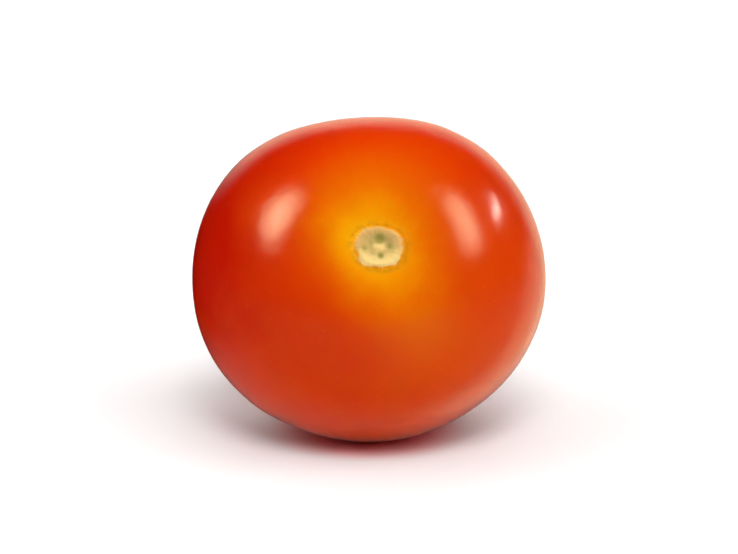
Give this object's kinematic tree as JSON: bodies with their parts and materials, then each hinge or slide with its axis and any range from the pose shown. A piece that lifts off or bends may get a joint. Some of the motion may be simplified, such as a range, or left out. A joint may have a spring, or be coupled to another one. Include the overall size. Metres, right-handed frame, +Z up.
{
  "type": "cherry tomato",
  "caption": "Ripe round cherry tomato picked clean of its stalk, with a corky stem scar, lying on its side on a small flattened spot.",
  "frame": {"origin": "centre of the small flattened spot on the underside that the fruit rests on", "axes": "+Z up from the surface it rests on, -Y the side that the stem end faces (turned up 26.5 degrees and 4.5 degrees towards +X), +X the right side seen from the stem end"},
  "size_m": [0.034, 0.0313, 0.0309],
  "materials": {
    "ripe_skin": "smooth waxy gloss, orange-red, paler orange round the stem end, with a matt cream and olive cork scar"
  },
  "bodies": {
    "root": {"cherry_tomato": "ripe_skin"}
  },
  "joints": []
}
